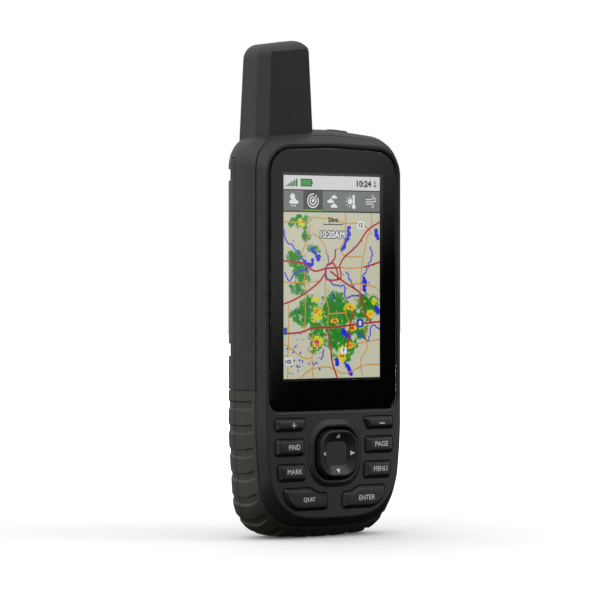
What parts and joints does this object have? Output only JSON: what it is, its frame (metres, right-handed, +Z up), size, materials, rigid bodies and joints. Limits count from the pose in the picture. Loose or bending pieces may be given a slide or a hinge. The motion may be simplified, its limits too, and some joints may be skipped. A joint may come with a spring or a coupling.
{
  "type": "handheld gps navigator",
  "caption": "Rugged handheld satellite navigator: stub antenna, colour map screen, rubber keys round a rocker, ribbed grip and a battery cover with a turning latch.",
  "frame": {"origin": "under the middle of the case, at its lowest point, midway between the rocker's rim in front and the mounting spine behind", "axes": "+Z up towards the antenna, +Y towards the back, +X to the right seen from the front"},
  "size_m": [0.062, 0.035, 0.1632],
  "materials": {
    "case_plastic": "dark grey moulded plastic, fine grain",
    "grip_rubber": "dark olive soft-touch rubber, matt",
    "key_rubber": "dark grey silicone with white legends",
    "lens_glass": "clear, glossy, black printed border",
    "screen": "colour display showing an invented weather map",
    "seal_rubber": "black, matt",
    "board_green": "green solder mask",
    "plated_steel": "bright plated sheet",
    "stainless": "satin stainless steel",
    "copper": "bare copper conductor",
    "ceramic_white": "white, matt",
    "cell_label": "plain copper-brown cell sleeve, no mark",
    "card_plastic": "black, matt",
    "brass": "gold-plated"
  },
  "bodies": {
    "case": {"front_case": "case_plastic", "rear_case": "case_plastic", "antenna_radome": "case_plastic", "grip_boot": "grip_rubber", "display_lens": "lens_glass", "flashlight_lens": "lens_glass", "lcd_panel": "screen", "lens_gasket": "seal_rubber", "keypad_membrane": "seal_rubber", "case_seal": "seal_rubber", "antenna_cable": "seal_rubber", "battery_seal": "seal_rubber", "main_board": "board_green", "port_board": "board_green", "lcd_frame": "plated_steel", "rf_shield": "plated_steel", "contact_bridge": "plated_steel", "contact_plate_left": "plated_steel", "contact_plate_right": "plated_steel", "usb_socket": "stainless", "microsd_socket": "stainless", "contact_spring_left": "stainless", "contact_spring_right": "stainless", "case_screw_1": "stainless", "case_screw_2": "stainless", "case_screw_3": "stainless", "case_screw_4": "stainless", "case_screw_5": "stainless", "helix_winding": "copper", "lcd_flex_cable": "copper", "helix_core": "ceramic_white", "flashlight_led": "ceramic_white", "battery_cell_left": "cell_label", "battery_cell_right": "cell_label", "microsd_card": "card_plastic", "buzzer": "card_plastic", "power_switch": "card_plastic", "antenna_jack": "brass"},
    "rocker_pivot": {"rocker_pivot_plate": "plated_steel"},
    "rocker": {"rocker_pad": "key_rubber"},
    "power_button": {"power_button": "key_rubber"},
    "cover": {"battery_cover": "case_plastic", "cover_grip": "grip_rubber"},
    "latch": {"latch_barrel": "case_plastic", "latch_retaining_ring": "stainless", "bail_pin": "stainless"},
    "bail": {"bail_ring": "stainless"},
    "weather_cap": {"weather_cap": "seal_rubber"},
    "key_zoom_in": {"key_zoom_in": "key_rubber"},
    "key_zoom_out": {"key_zoom_out": "key_rubber"},
    "key_find": {"key_find": "key_rubber"},
    "key_page": {"key_page": "key_rubber"},
    "key_mark": {"key_mark": "key_rubber"},
    "key_menu": {"key_menu": "key_rubber"},
    "key_quit": {"key_quit": "key_rubber"},
    "key_enter": {"key_enter": "key_rubber"}
  },
  "joints": [
    {"name": "key_zoom_in_press", "type": "slide", "parent": "case", "child": "key_zoom_in", "axis": [0, 1, 0], "range_m": [0, 0.0006]},
    {"name": "key_zoom_out_press", "type": "slide", "parent": "case", "child": "key_zoom_out", "axis": [0, 1, 0], "range_m": [0, 0.0006]},
    {"name": "key_find_press", "type": "slide", "parent": "case", "child": "key_find", "axis": [0, 1, 0], "range_m": [0, 0.0006]},
    {"name": "key_page_press", "type": "slide", "parent": "case", "child": "key_page", "axis": [0, 1, 0], "range_m": [0, 0.0006]},
    {"name": "key_mark_press", "type": "slide", "parent": "case", "child": "key_mark", "axis": [0, 1, 0], "range_m": [0, 0.0006]},
    {"name": "key_menu_press", "type": "slide", "parent": "case", "child": "key_menu", "axis": [0, 1, 0], "range_m": [0, 0.0006]},
    {"name": "key_quit_press", "type": "slide", "parent": "case", "child": "key_quit", "axis": [0, 1, 0], "range_m": [0, 0.0006]},
    {"name": "key_enter_press", "type": "slide", "parent": "case", "child": "key_enter", "axis": [0, 1, 0], "range_m": [0, 0.0006]},
    {"name": "power_press", "type": "slide", "parent": "case", "child": "power_button", "axis": [0, 0, -1], "range_m": [0, 0.0006]},
    {"name": "rocker_left_right", "type": "hinge", "parent": "case", "child": "rocker_pivot", "pos_m": [0, -0.0109, 0.0278], "axis": [0, 0, 1], "range_deg": [-4, 4]},
    {"name": "rocker_up_down", "type": "hinge", "parent": "rocker_pivot", "child": "rocker", "pos_m": [0, -0.0121, 0.0278], "axis": [1, 0, 0], "range_deg": [-4, 4]},
    {"name": "cover_lift", "type": "slide", "parent": "case", "child": "cover", "axis": [0, 1, 0], "range_m": [0, 0.04]},
    {"name": "latch_turn", "type": "hinge", "parent": "cover", "child": "latch", "pos_m": [0, 0.011, 0.0276], "axis": [0, 1, 0], "range_deg": [0, 90]},
    {"name": "bail_flip", "type": "hinge", "parent": "latch", "child": "bail", "pos_m": [0, 0.01355, 0.0276], "axis": [1, 0, 0], "range_deg": [0, 95]},
    {"name": "weather_cap_open", "type": "hinge", "parent": "case", "child": "weather_cap", "pos_m": [-0.0112, 0.0134, 0.1116], "axis": [0, 0, 1], "range_deg": [0, 120]}
  ]
}
